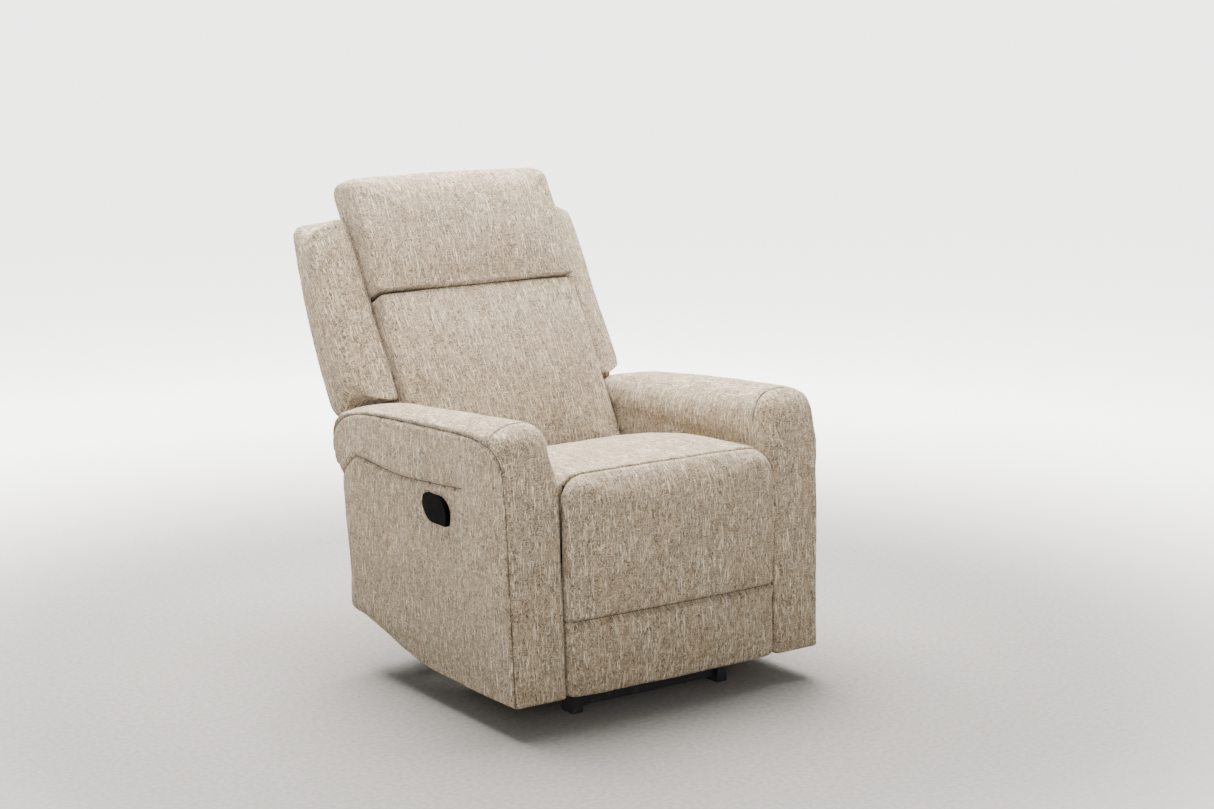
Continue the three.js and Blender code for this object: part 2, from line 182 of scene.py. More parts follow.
def chenille():
    """Heathered greige upholstery: short curled fibres both ways, long pale slubs along the warp.

    The stretches are cells in a metre. The shifts only keep the noises from lying on each other.
    """
    s = Shader("heathered_chenille")
    weave = s.node("UVMap", uv_map="weave").outputs[0]
    warp = s.noise(weave, 1.0, 2.0, (600, 130, 1), 1.3, flat=True)
    weft = s.noise(weave, 1.0, 2.0, (150, 540, 1), 1.3, flat=True, shift=7.3)
    grain = s.noise(weave, 1100, 1.0, flat=True, shift=3.1)
    curl = s.noise(weave, 105, 2.0, (1.15, 0.85, 1), 1.8, flat=True, shift=1.7)
    mottle = s.noise(weave, 1.0, 2.0, (110, 40, 1), 0.4, flat=True, shift=11.9)
    patch = s.noise(weave, 1.0, 2.0, (17, 6, 1), 0.3, flat=True, shift=5.3)
    streak = s.noise(weave, 1.0, 1.5, (420, 34, 1), 1.3, flat=True, shift=2.9)
    cross_streak = s.noise(weave, 1.0, 1.5, (62, 420, 1), 1.6, flat=True, shift=9.7)

    ground = s.mix(s.ramp(patch, 0.40, 0.60), SAND, GREY)
    fibres = s.math("MAXIMUM", s.ramp(warp, 0.47, 0.61), s.ramp(weft, 0.51, 0.65))
    off_loop = s.math("ABSOLUTE", s.math("SUBTRACT", curl, 0.5))
    loops = s.ramp(off_loop, 0.085, 0.02)
    shaded_hollows = s.math("MULTIPLY", s.ramp(off_loop, 0.07, 0.14), s.ramp(mottle, 0.60, 0.40, 0.35, 1.0))
    colour = s.mix(s.math("MULTIPLY", fibres, 0.50), ground, CREAM)
    # Partly the pile's own dark brown and partly painted shade: the hollows between the loops, lowered in
    # the pile below, are darkened towards brown.
    colour = s.mix(s.math("MULTIPLY", shaded_hollows, 0.66), colour, BROWN)
    colour = s.mix(s.math("MULTIPLY", loops, 0.66), colour, CREAM)
    slub = s.math("MULTIPLY", s.ramp(streak, 0.60, 0.635), s.ramp(patch, 0.3, 0.6, 0.65, 1.0))
    cross_slub = s.math("MULTIPLY", s.ramp(cross_streak, 0.64, 0.675), 0.65)
    slubs = s.math("MAXIMUM", slub, cross_slub)
    colour = s.mix(s.math("MULTIPLY", slubs, 0.84), colour, PALE_SLUB)
    colour = s.mix(s.ramp(grain, 0.35, 0.65, 0.0, 0.30), colour, BROWN)

    off_seam = s.attribute("seam")
    stitches = s.math("SINE", s.math("MULTIPLY", s.attribute("along"), 2 * math.pi / STITCH_LENGTH))
    thread = s.math("MULTIPLY", s.ramp(off_seam, 0.0017, 0.0005), s.ramp(stitches, -0.9, 0.4, 0.93, 0.72))
    # Painted shade: within 9 mm of a seam the cloth is darkened towards brown, standing in for the shade in
    # the seam's groove.
    colour = s.mix(s.ramp(off_seam, 0.009, 0.0, 0.0, 0.28), colour, BROWN)
    colour = s.mix(thread, colour, SEAM_DARK)

    raised = s.math("MULTIPLY", s.math("MAXIMUM", fibres, loops), 0.55)
    pile = s.math("ADD", raised, s.math("MULTIPLY", slubs, 0.6))
    pile = s.math("SUBTRACT", pile, s.math("MULTIPLY", shaded_hollows, 0.5))
    pile = s.math("ADD", pile, s.math("MULTIPLY", grain, 0.25))
    return s.done(
        Base_Color=colour,
        Roughness=s.ramp(fibres, 0.0, 1.0, 0.97, 0.86),
        Normal=s.bump(pile, 0.0014, 0.85),
        Sheen_Weight=0.18,
        Sheen_Roughness=0.6,
        Sheen_Tint=(0.9, 0.84, 0.76, 1),
        Specular_IOR_Level=0.18,
    )


def painted(
    name, colour, scale=900, rough=(0.42, 0.6), depth=0.00012, worn=rgb(0.09, 0.09, 0.09), specular=0.45,
):
    """A thin coat with orange peel and rubbed places."""
    s = Shader(name)
    place = s.place()
    peel = s.noise(place, scale, 3.0)
    rubbed = s.noise(place, 38, 4.0)
    return s.done(
        Base_Color=s.mix(s.ramp(rubbed, 0.55, 0.78, 0.0, 0.5), colour, worn),
        Roughness=s.ramp(rubbed, 0.3, 0.7, *rough),
        Normal=s.bump(peel, depth, 0.7),
        Specular_IOR_Level=specular,
    )


def black_lining_for_gap_shade():
    """The thin black non-woven cloth stapled over the seat box, the footrest board and the back's posts. It
    is also painted shade: kept black, these parts read as the shade of the gaps they show through.
    """
    s = Shader("black_lining_cloth_for_gap_shade")
    place = s.place()
    felt = s.noise(place, 1200, 3.0, distortion=0.8)
    dimples = s.node("TexVoronoi", {"Vector": place, "Scale": 420.0}).outputs["Distance"]
    dust = s.noise(place, 22, 4.0)
    colour = s.mix(s.ramp(felt, 0.35, 0.65), rgb(0.007, 0.007, 0.008), rgb(0.022, 0.021, 0.021))
    height = s.math("ADD", s.math("MULTIPLY", felt, 0.6), dimples)
    return s.done(
        Base_Color=s.mix(s.ramp(dust, 0.5, 0.8, 0.0, 0.35), colour, rgb(0.05, 0.047, 0.043)),
        Roughness=s.ramp(felt, 0.3, 0.7, 0.82, 0.95),
        Normal=s.bump(height, 0.0003, 0.7),
        Specular_IOR_Level=0.2,
    )


def zinc():
    """Bright zinc plate, brushed along X."""
    s = Shader("zinc_plate")
    place = s.place()
    brushed = s.noise(place, 1.0, 2.0, (60, 900, 900))
    cloud = s.noise(place, 60, 3.0)
    return s.done(
        Base_Color=s.mix(cloud, rgb(0.42, 0.42, 0.41), rgb(0.6, 0.6, 0.58)),
        Metallic=1.0,
        Roughness=s.ramp(brushed, 0.3, 0.7, 0.28, 0.48),
        Normal=s.bump(brushed, 0.00008, 0.6),
    )


def timber(name, light, dark, along):
    """Sawn wood whose grain runs along one axis (0, 1 or 2)."""
    s = Shader(name)
    place = s.place()
    fine = tuple(0.06 if i == along else 1.0 for i in range(3))
    grain = s.noise(place, 160, 5.0, fine, 0.8)
    rings = s.noise(place, 28, 3.0, fine, 1.5)
    pores = s.noise(place, 900, 2.0, fine)
    colour = s.mix(s.ramp(rings, 0.35, 0.7), light, dark)
    colour = s.mix(s.ramp(grain, 0.5, 0.75, 0.0, 0.45), colour, dark)
    return s.done(
        Base_Color=s.mix(s.ramp(pores, 0.6, 0.75, 0.0, 0.5), colour, rgb(0.12, 0.07, 0.035)),
        Roughness=s.ramp(grain, 0.3, 0.7, 0.6, 0.82),
        Normal=s.bump(grain, 0.0004, 0.6),
    )


def stage_floor():
    """A pale floor, a little greyer round the chair, that glows further off to meet the backdrop."""
    s = Shader("pale_floor")
    place = s.place()
    far = s.node("VectorMath", {0: place}, operation="LENGTH").outputs["Value"]
    speck = s.noise(place, 90, 4.0)
    near = s.mix(s.ramp(speck, 0.3, 0.7), rgb(0.205, 0.195, 0.182), rgb(0.250, 0.239, 0.223))
    return s.done(
        Base_Color=s.mix(s.ramp(far, 1.1, 3.4), near, rgb(0.93, 0.92, 0.90)),
        Emission_Color=rgb(1.0, 0.985, 0.96),
        Emission_Strength=s.ramp(far, 1.0, 3.6, 0.0, 3.4),
        Roughness=0.85,
        Normal=s.bump(speck, 0.002, 0.4),
        Specular_IOR_Level=0.2,
    )


# ---------------------------------------------------------------- outlines and shapes
def rounded(corners, steps=8):
    """An outline's points. A corner's third value is how far back it is cut before it is curved."""
    points = []
    count = len(corners)
    for i, corner in enumerate(corners):
        here = np.array(corner[:2], float)
        if len(corner) < 3:
            points.append(here)
            continue
        ends = []
        for other in (corners[i - 1], corners[(i + 1) % count]):
            way = np.array(other[:2], float) - here
            ends.append(here + way / np.linalg.norm(way) * corner[2])
        for k in range(steps + 1):
            t = k / steps
            points.append((1 - t) ** 2 * ends[0] + 2 * t * (1 - t) * here + t * t * ends[1])
    return np.array(points)


def to_outline(outline, points):
    """Signed distance to the outline, positive outside, its gradient, the length along it, and in all."""
    best = np.full(len(points), np.inf)
    away = np.zeros((len(points), 2))
    along = np.zeros(len(points))
    inside = np.zeros(len(points), bool)
    start = 0.0
    for a, b in zip(outline, np.roll(outline, -1, 0)):
        edge = b - a
        length = np.linalg.norm(edge)
        if length < 1e-9:
            continue
        t = np.clip((points - a) @ edge / length ** 2, 0, 1)
        off = points - a - t[:, None] * edge
        square = (off ** 2).sum(1)
        closer = square < best
        best[closer] = square[closer]
        away[closer] = off[closer]
        along[closer] = start + t[closer] * length
        if abs(edge[1]) > 1e-12:
            spans = (a[1] <= points[:, 1]) != (b[1] <= points[:, 1])
            inside ^= spans & (points[:, 0] < a[0] + (points[:, 1] - a[1]) / edge[1] * edge[0])
        start += length
    distance = np.sqrt(best)
    sign = np.where(inside, -1.0, 1.0)
    gradient = away / np.maximum(distance, 1e-9)[:, None] * sign[:, None]
    return distance * sign, gradient, along, start


def smooth(value, low, high):
    t = np.clip((value - low) / (high - low), 0, 1)
    return t * t * (3 - 2 * t)


SHOULDER_BAND = (0.400, 0.455)  # heights between which round shoulders take effect
SHOULDER_SECTIONS = 40


def shoulder_drop(shape, x, q):
    """How far the top is lowered at x, where a shape has round shoulders."""
    if shape.shoulder == 0:
        return np.zeros(np.broadcast(x, q).shape)
    middle, half = (shape.x0 + shape.x1) / 2, (shape.x1 - shape.x0) / 2
    # Stopping just short of the arc's end keeps the slope finite.
    into = np.clip(np.abs(x - middle) - half + shape.shoulder, 0, 0.985 * shape.shoulder)
    drop = shape.shoulder - np.sqrt(shape.shoulder ** 2 - into ** 2)
    return drop * smooth(q, *SHOULDER_BAND)


def field(shape, p):
    """Signed distance of points (x, p, q) from a crowned, rounded slab, and its gradient.

    Also the length along the outline, and whether a point is on the band that follows the outline
    and not on one of the two cheeks that close it.
    """
    lifted = np.column_stack([p[:, 1], p[:, 2] + shoulder_drop(shape, p[:, 0], p[:, 2])])
    d, slope, along, _ = to_outline(shape.outline, lifted)
    middle, half = (shape.x0 + shape.x1) / 2, (shape.x1 - shape.x0) / 2
    t = (p[:, 0] - middle) / half
    side = np.where(t < 0, -1.0, 1.0)
    band = d + shape.crown(t, p[:, 1], p[:, 2])
    cheek = np.abs(p[:, 0] - middle) - half - shape.swell(side, p[:, 1], p[:, 2])
    radius = shape.radius(side, p[:, 1], p[:, 2])
    a, b = band + radius, cheek + radius
    corner = (a > 0) & (b > 0)
    reach = np.maximum(np.hypot(a, b), 1e-9)
    value = np.where(corner, reach, np.maximum(a, b)) - radius
    weight_a = np.where(corner, a / reach, (a >= b).astype(float))
    weight_b = np.where(corner, b / reach, (a < b).astype(float))
    gradient = np.column_stack([weight_b * side, weight_a[:, None] * slope])
    return value, gradient, along, a >= b


def settle(shape, points, rounds=7):
    """Moves points onto the shape's surface."""
    for _ in range(rounds):
        value, gradient, _, _ = field(shape, points)
        points = points - value[:, None] * gradient
    return points


# ---------------------------------------------------------------- meshes
def coordinates(mesh):
    out = np.empty(len(mesh.vertices) * 3, np.float32)
    mesh.vertices.foreach_get("co", out)
    return out.reshape(-1, 3).astype(float)


def set_coordinates(mesh, points):
    mesh.vertices.foreach_set("co", np.asarray(points, np.float32).ravel())
    mesh.update()


def linked(name, mesh):
    made = bpy.data.objects.new(name, mesh)
    bpy.context.collection.objects.link(made)
    return made


def baked(made, name):
    """The object's mesh with its modifiers applied, as a new mesh."""
    graph = bpy.context.evaluated_depsgraph_get()
    mesh = bpy.data.meshes.new_from_object(made.evaluated_get(graph))
    mesh.name = name
    return mesh


def discard(made):
    mesh = made.data
    bpy.data.objects.remove(made)
    if mesh.users == 0:
        bpy.data.meshes.remove(mesh)


def modified(mesh, kind, name, **settings):
    """A new mesh: this one with one modifier applied."""
    made = linked("working", mesh)
    modifier = made.modifiers.new("step", kind)
    for key, value in settings.items():
        setattr(modifier, key, value)
    out = baked(made, name)
    discard(made)
    return out


def slab(shape, voxel, name):
    """The shape's outline across x0 to x1 as an even mesh of quads, settled on the shape."""
    outline = shape.outline
    count = len(outline)
    middle, half = (shape.x0 + shape.x1) / 2, (shape.x1 - shape.x0) / 2
    steps = SHOULDER_SECTIONS if shape.shoulder else 1
    sections = []
    for k in range(steps + 1):
        x = middle - half * math.cos(math.pi * k / steps)
        first_guess = outline[:, 1] - shoulder_drop(shape, x, outline[:, 1])
        lowered = outline[:, 1] - shoulder_drop(shape, x, first_guess)
        sections.append(np.column_stack([np.full(count, x), outline[:, 0], lowered]))
    last = steps * count
    faces = [list(range(count)), list(range(last + count - 1, last - 1, -1))]
    for k in range(steps):
        for i in range(count):
            j = (i + 1) % count
            faces.append([k * count + n for n in (count + i, count + j, j, i)])
    mesh = bpy.data.meshes.new(name)
    mesh.from_pydata(np.vstack(sections).tolist(), [], faces)
    made = bmesh.new()
    made.from_mesh(mesh)
    bmesh.ops.recalc_face_normals(made, faces=made.faces)
    made.to_mesh(mesh)
    made.free()
    mesh = modified(mesh, "REMESH", name, mode="VOXEL", voxel_size=voxel)
    set_coordinates(mesh, settle(shape, coordinates(mesh)))
    return mesh


FRAMES = 20  # steps of each cloth simulation
PRESSURE = 4.0
STIFFNESS = 15.0


def swollen(mesh, held, cap):
    """How each vertex moves, by cap at most, when the mesh is filled as a cloth bag and held in places."""
    made = linked("swelling", mesh.copy())
    group = made.vertex_groups.new(name="held")
    group.add([int(i) for i in np.flatnonzero(held)], 1.0, "REPLACE")
    cloth = made.modifiers.new("cloth", "CLOTH")
    cloth.settings.vertex_group_mass = "held"
    cloth.settings.quality = 4
    cloth.settings.mass = 0.25
    cloth.settings.tension_stiffness = STIFFNESS
    cloth.settings.compression_stiffness = STIFFNESS
    cloth.settings.shear_stiffness = STIFFNESS / 2
    cloth.settings.bending_stiffness = 0.6
    cloth.settings.use_pressure = True
    cloth.settings.uniform_pressure_force = PRESSURE
    cloth.settings.effector_weights.gravity = 0
    cloth.collision_settings.use_collision = False
    cloth.point_cache.frame_start = 1
    cloth.point_cache.frame_end = FRAMES
    rest = coordinates(mesh)
    for number in range(1, FRAMES + 1):
        bpy.context.scene.frame_set(number)
    after = baked(made, "swollen")
    move = coordinates(after) - rest
    bpy.data.meshes.remove(after)
    bpy.context.scene.frame_set(1)
    discard(made)
    size = np.maximum(np.linalg.norm(move, axis=1), 1e-9)
    return move * (np.minimum(size, cap) / size)[:, None]


def carried(from_points, moves, points):
    """The moves of one point set, spread to another by its nearest four."""
    tree = KDTree(len(from_points))
    for i, point in enumerate(from_points):
        tree.insert(point, i)
    tree.balance()
    out = np.empty((len(points), 3))
    for i, point in enumerate(points):
        near = tree.find_n(point, 4)
        weights = np.array([1 / (n[2] + 1e-3) ** 2 for n in near])
        out[i] = weights @ moves[[n[1] for n in near]] / weights.sum()
    return out


# ---------------------------------------------------------------- seams
BROAD_WAVES = (9.0, 0.0016)  # cells in a metre, and height
FINE_WAVES = (31.0, 0.00045)
SEAM_REACH = 0.03  # how far from its line a seam shapes the cloth
NO_SEAM = 0.05  # the distance stored where no seam is near
OPEN_END = 0.012  # length over which a groove dies out where its seam stops
RIDGE_AT = 0.011  # distance from a seam to the puckered ridge beside it
RIDGE_WIDTH = 0.006
SNAP = 0.62  # part of the mesh's spacing within which a point is drawn onto the seam's line
PUCKERS = (290, 113)  # two waves whose product makes the puckers uneven, in radians a metre


def softened(points, rounds=2):
    """A polyline with its corners cut again and again."""
    for _ in range(rounds):
        out = [points[0]]
        for a, b in zip(points, points[1:]):
            out += [a * 0.75 + b * 0.25, a * 0.25 + b * 0.75]
        points = out + [points[-1]]
    return points


def sampled(points, step=0.001):
    """Points a step apart along the softened polyline."""
    points = softened([np.array(p, float) for p in points])
    out = []
    for a, b in zip(points, points[1:]):
        count = max(1, int(np.linalg.norm(b - a) / step))
        out += [a + (b - a) * k / count for k in range(count)]
    return out + [points[-1]]


def unevened(points, normals):
    """Points pushed in and out a little, as stuffing and stretched cloth do."""
    out = points.copy()
    for i, (point, normal) in enumerate(zip(points, normals)):
        broad = perlin(Vector(point) * BROAD_WAVES[0])
        fine = perlin(Vector(point) * FINE_WAVES[0] + Vector((4.0, 7.0, 1.0)))
        out[i] += normal * (BROAD_WAVES[1] * broad + FINE_WAVES[1] * fine)
    return out


def sew(mesh, seams, spacing):
    """Draws each seam into the mesh as a groove, and stores how near and how far along a point is."""
    points = coordinates(mesh)
    normals = np.empty(len(points) * 3, np.float32)
    mesh.vertex_normals.foreach_get("vector", normals)
    normals = normals.reshape(-1, 3).astype(float)
    points = unevened(points, normals)
    near = np.full(len(points), NO_SEAM)
    along = np.zeros(len(points))
    surface = BVHTree.FromPolygons(
        [tuple(p) for p in points], [tuple(f.vertices) for f in mesh.polygons]
    )
    for sewn in seams:
        line = [np.array(surface.find_nearest(Vector(p))[0]) for p in sampled(sewn.points)]
        tree = KDTree(len(line))
        for i, point in enumerate(line):
            tree.insert(point, i)
        tree.balance()
        lengths = np.concatenate([[0], np.cumsum(np.linalg.norm(np.diff(line, axis=0), axis=1))])
        low, high = np.min(line, 0) - SEAM_REACH, np.max(line, 0) + SEAM_REACH
        close = np.flatnonzero(((points > low) & (points < high)).all(1))
        for i in close:
            spot, index, distance = tree.find(points[i])
            if distance > SEAM_REACH:
                continue
            end = min(lengths[index], lengths[-1] - lengths[index])
            fade = 1.0 if sewn.closed else min(1.0, 0.15 + end / OPEN_END)
            if distance < spacing * SNAP:
                points[i] = spot
                distance = 0.0
            sink = sewn.depth * math.exp(-((distance / sewn.width) ** 2))
            waves = math.sin(lengths[index] * PUCKERS[0]) * math.sin(lengths[index] * PUCKERS[1] + 1)
            pucker = 0.7 + 0.5 * waves
            lift = sewn.lift * pucker * math.exp(-(((distance - RIDGE_AT) / RIDGE_WIDTH) ** 2))
            points[i] = points[i] + normals[i] * (lift - sink) * fade
            past_end = end <= 0.001 and not sewn.closed
            shown = 2 * distance if past_end else distance
            if shown < near[i]:
                near[i] = shown
                along[i] = lengths[index]
    set_coordinates(mesh, points)
    for name, values in (("seam", near), ("along", along)):
        store = mesh.attributes.new(name, "FLOAT", "POINT")
        store.data.foreach_set("value", values.astype(np.float32))


def seam(points, depth=0.0028, width=0.0036, lift=0.0008, closed=False):
    """A seam through these points. A closed one keeps its depth up to its ends."""
    return SimpleNamespace(points=points, depth=depth, width=width, lift=lift, closed=closed)


def lay_weave(mesh, shape, rest, shift):
    """A map in metres: across by along the outline on the band, and p by q on the cheeks.

    On a cheek q also grows inwards from the cheek, so that the weave isn't drawn out round its edge.
    """
    _, _, along, _ = field(shape, rest)
    length = to_outline(shape.outline, rest[:1, 1:])[3]
    count = len(mesh.polygons)
    corners = np.empty(len(mesh.loops), int)
    mesh.loops.foreach_get("vertex_index", corners)
    totals = np.empty(count, int)
    mesh.polygons.foreach_get("loop_total", totals)
    owner = np.repeat(np.arange(count), totals)
    middle = np.zeros((count, 3))
    np.add.at(middle, owner, rest[corners])
    middle /= totals[:, None]
    _, _, centre_along, on_band = field(shape, middle)
    here = along[corners]
    gap = here - centre_along[owner]
    here = here - np.round(gap / length) * length
    spots = rest[corners]
    band = np.column_stack([spots[:, 0], here])
    in_from_end = (shape.x1 - shape.x0) / 2 - np.abs(spots[:, 0] - (shape.x0 + shape.x1) / 2)
    cheek = np.column_stack([spots[:, 1], spots[:, 2] + in_from_end])
    uv = np.where(on_band[owner][:, None], band, cheek) + np.array(shift)
    store = mesh.uv_layers.new(name="weave")
    store.data.foreach_set("uv", uv.astype(np.float32).ravel())


BACK_TILT = math.radians(30)
BACK_FOOT = (0.0, 0.056, 0.445)  # the origin of the back's own p (through it) and q (up it)
UPRIGHT = Matrix.Identity(4)
LEANING = Matrix.Translation(BACK_FOOT) @ Matrix.Rotation(-BACK_TILT, 4, "X")


def soft_piece(
    name, shape, body, nodes, seams=(), place=UPRIGHT, voxel=0.006, puff=None, shift=(0, 0),
):
    """A stuffed piece: settled on its shape, swollen as cloth, subdivided, sewn and given its weave."""
    mesh = slab(shape, voxel, name)
    rest = coordinates(mesh)
    # The unswollen points go through the subdivision with the mesh, for the weave.
    store = mesh.attributes.new("rest", "FLOAT_VECTOR", "POINT")
    store.data.foreach_set("vector", rest.astype(np.float32).ravel())
    if puff:
        coarse = slab(shape, puff.voxel, name + "_coarse")
        spots = coordinates(coarse)
        moves = swollen(coarse, puff.held(*spots.T), puff.cap)
        bpy.data.meshes.remove(coarse)
        set_coordinates(mesh, rest + carried(spots, moves, rest))
    mesh = modified(mesh, "SUBSURF", name, levels=1, render_levels=1)
    rest = np.empty(len(mesh.vertices) * 3, np.float32)
    mesh.attributes["rest"].data.foreach_get("vector", rest)
    rest = rest.reshape(-1, 3).astype(float)
    sew(mesh, seams, voxel / 2)
    lay_weave(mesh, shape, rest, shift)
    mesh.attributes.remove(mesh.attributes["rest"])
    mesh.transform(place)
    mesh.polygons.foreach_set("use_smooth", [True] * len(mesh.polygons))
    mesh.materials.clear()
    mesh.materials.append(FABRIC)
    mesh.update()
    made = linked(name, mesh)
    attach(made, body)
    if nodes:
        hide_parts(*nodes)
    return made


def puffing(held, voxel, cap):
    """How a piece is swollen: what stays put, the coarse mesh's voxel, and the furthest a point moves."""
    return SimpleNamespace(held=held, voxel=voxel, cap=cap)


def plain(value):
    return lambda cheek, p, q: np.full(len(p), value)


def shaped(outline, x0, x1, crown, radius, swell=plain(0.0), shoulder=0.0):
    """A slab's shape from x0 to x1.

    crown(t, p, q) draws the outline in, with t from -1 to 1 across. radius(cheek, p, q) rounds the
    edge to a cheek, which is -1 or 1. swell pushes a cheek out. shoulder rounds the upper corners.
    """
    return SimpleNamespace(
        outline=rounded(outline), x0=x0, x1=x1, crown=crown, radius=radius, swell=swell, shoulder=shoulder,
    )


def even_slab(outline, x0, x1, drop, radius, power=2.4):
    """A shape with the same crown and edges all round."""
    return shaped(outline, x0, x1, lambda t, p, q: drop * np.abs(t) ** power, plain(radius))


# ---------------------------------------------------------------- the soft pieces
# An outline's corners are (p, q): y and z where a piece stands upright, and through and up the back
# where it leans.
ARM_OUTLINE = [
    (-0.481, 0.064, 0.010),
    (-0.150, 0.066, 0.060),
    (0.182, 0.126, 0.018),
    (0.211, 0.405, 0.012),
    (0.207, 0.428, 0.008),
    (0.240, 0.440, 0.020),
    (0.249, 0.490, 0.030),
    (0.235, 0.562, 0.052),
    (0.070, 0.590, 0.060),
    (-0.190, 0.612, 0.080),
    (-0.443, 0.630, 0.070),
]
ARM_SEAM_TOP = [
    (0.215, 0.428), (0.243, 0.469), (0.238, 0.505), (0.222, 0.531), (0.182, 0.555), (0.113, 0.570),
    (0.011, 0.577), (-0.136, 0.585), (-0.272, 0.591), (-0.347, 0.591), (-0.398, 0.580),
    (-0.427, 0.561), (-0.441, 0.528), (-0.450, 0.449), (-0.462, 0.290), (-0.479, 0.080),
    (-0.476, 0.066),
]
PAD_SEAM = [
    (0.213, 0.418), (0.180, 0.444), (0.140, 0.474), (0.120, 0.477), (0.053, 0.472), (-0.002, 0.467),
    (-0.072, 0.466), (-0.180, 0.470), (-0.296, 0.481),
]
CROSS_SEAM_Y = -0.392
CROSS_SEAM_STEPS = (0.03, 0.15, 0.3, 0.5, 0.7, 0.85, 0.97)  # parts of the way across
CROSS_SEAM_HEIGHTS = (0.586, 0.602, 0.612, 0.618, 0.612, 0.598, 0.56)
PAD_UNDERCUT = (0.209, 0.424)  # y and z of the crease under the pad's rear end
HANDLE_SPOT = (-0.205, 0.424)  # where the release handle comes through its arm
ARM_FRONT_DROP = {"left": 0.013, "right": 0.006}  # how much more the crown falls at the front
ARM_FOOT_TAPER = {"left": 0.0, "right": 0.012}


def arm(name, side):
    """side is -1 for the arm at -X. The outer cheek is flat with a hard edge, the inner one rolls."""
    low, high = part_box(f"arm_pad_{name}")
    out_x, in_x = (low.x, high.x) if side < 0 else (high.x, low.x)
    front_drop = ARM_FRONT_DROP[name]

    def crown(t, p, q):
        reach = 0.010 + front_drop * smooth(-p, -0.05, 0.36)
        top = smooth(q, 0.50, 0.575)
        drop = 0.001 + (reach - 0.001) * top
        lean = np.where(t * side > 0, 1.0, 0.7)
        return drop * lean * np.abs(t) ** 2.2

    def radius(cheek, p, q):
        top = smooth(q, 0.480, 0.590)
        inner = 0.010 + 0.030 * top * (1 - 0.65 * smooth(p, 0.04, 0.15))
        return np.where(cheek * side > 0, 0.009, inner)

    def swell(cheek, p, q):
        pad = smooth(q, 0.455, 0.478)
        middle = np.exp(-(((q - 0.28) / 0.15) ** 2) - ((p + 0.12) / 0.26) ** 2)
        taper = ARM_FOOT_TAPER[name] * smooth(-q, -0.46, -0.06)
        return np.where(cheek * side > 0, -0.004 + 0.003 * pad + 0.002 * middle - taper, 0.0)

    shape = shaped(ARM_OUTLINE, low.x, high.x, crown, radius, swell)
    edge = out_x - side * 0.004
    across = [out_x + (in_x - out_x) * f for f in CROSS_SEAM_STEPS]
    cross_seam = [(x, CROSS_SEAM_Y, z) for x, z in zip(across, CROSS_SEAM_HEIGHTS)]
    seams = [
        seam([(edge, y, z) for y, z in ARM_SEAM_TOP], 0.0030, 0.0034, 0.0012),
        seam([(out_x, y, z) for y, z in PAD_SEAM], 0.0050, 0.0050, 0.0018),
        seam(cross_seam, 0.0009, 0.0024, 0.0002),
        seam([(x, *PAD_UNDERCUT) for x in across], 0.003, 0.005, 0.001),
    ]

    def held(x, p, q):
        """Round the handle's stem, along the outer edge's seam, low on the inner side, and the foot."""
        near_handle = (np.abs(p - HANDLE_SPOT[0]) < 0.06) & (np.abs(q - HANDLE_SPOT[1]) < 0.05)
        edge_near = np.zeros(len(x), bool)
        for y, z in ARM_SEAM_TOP:
            edge_near |= (np.hypot(p - y, q - z) < 0.016) & (np.abs(x - out_x) < 0.03)
        for (y0, z0), (y1, z1) in zip(ARM_SEAM_TOP, ARM_SEAM_TOP[1:]):
            for f in (0.25, 0.5, 0.75):
                y, z = y0 + (y1 - y0) * f, z0 + (z1 - z0) * f
                edge_near |= (np.hypot(p - y, q - z) < 0.012) & (np.abs(x - out_x) < 0.02)
        inner = (np.abs(x - in_x) < 0.02) & (q < 0.52)
        return (near_handle & (side < 0)) | edge_near | inner | (q < 0.09)

    return soft_piece(
        f"arm_{name}", shape, "base", [f"arm_pad_{name}", f"arm_cover_{name}"], seams,
        voxel=0.008, puff=puffing(held, 0.016, 0.006), shift=(3.1 * side, 1.7),
    )


SEAT_OUTLINE = [
    (-0.427, 0.374, 0.010),
    (0.003, 0.374, 0.010),
    (0.044, 0.455, 0.026),
    (-0.060, 0.486, 0.060),
    (-0.250, 0.517, 0.080),
    (-0.4385, 0.5205, 0.008),
    (-0.4385, 0.500, 0.003),
    (-0.427, 0.497, 0.003),
]
FOOTREST_OUTLINE = [
    (-0.4452, 0.063, 0.012),
    (-0.4452, 0.498),
    (-0.4405, 0.500),
    (-0.4405, 0.5175, 0.008),
    (-0.478, 0.512, 0.034),
    (-0.487, 0.330, 0.070),
    (-0.482, 0.222, 0.030),
    (-0.488, 0.062, 0.024),
]
FOOTREST_SEAM_Z = 0.222
SEAT_SHOULDER = 0.052  # radius of the round upper corners of the seat and the footrest
PROUD = 0.0045  # how far the seat's and footrest's cheeks stand outside their solids
LUMBAR_OUTLINE = [
    (0.002, -0.029, 0.024),
    (0.084, -0.029, 0.012),
    (0.084, 0.4118, 0.012),
    (-0.001, 0.4119, 0.003),
    (-0.005, 0.200, 0.120),
]
HEAD_OUTLINE = [
    (-0.010, 0.4122, 0.006),
    (0.084, 0.4125, 0.012),
    (0.084, 0.699, 0.030),
    (0.024, 0.706, 0.027),
    (-0.022, 0.678, 0.024),
    (-0.028, 0.540, 0.060),
]
HEAD_CREASE = 0.412
WING_OUTLINE = [
    (0.027, 0.168, 0.010),
    (0.104, 0.187, 0.020),
    (0.176, 0.184, 0.036),
    (0.178, 0.400, 0.120),
    (0.134, 0.640, 0.030),
    (0.040, 0.613, 0.020),
    (0.034, 0.560, 0.030),
]
WING_REAR_SEAM = [
    (0.090, 0.638), (0.134, 0.633), (0.163, 0.497), (0.177, 0.370), (0.175, 0.200), (0.140, 0.187),
]
WING_SLANT = 0.036  # how far the wing's front falls back towards its outer side
BACK_BORDER_OUTLINE = [
    (0.036, -0.020, 0.010),
    (0.173, -0.056, 0.006),
    (0.174, 0.400, 0.060),
    (0.140, 0.630, 0.006),
    (0.088, 0.626, 0.006),
    (0.044, 0.606, 0.006),
]
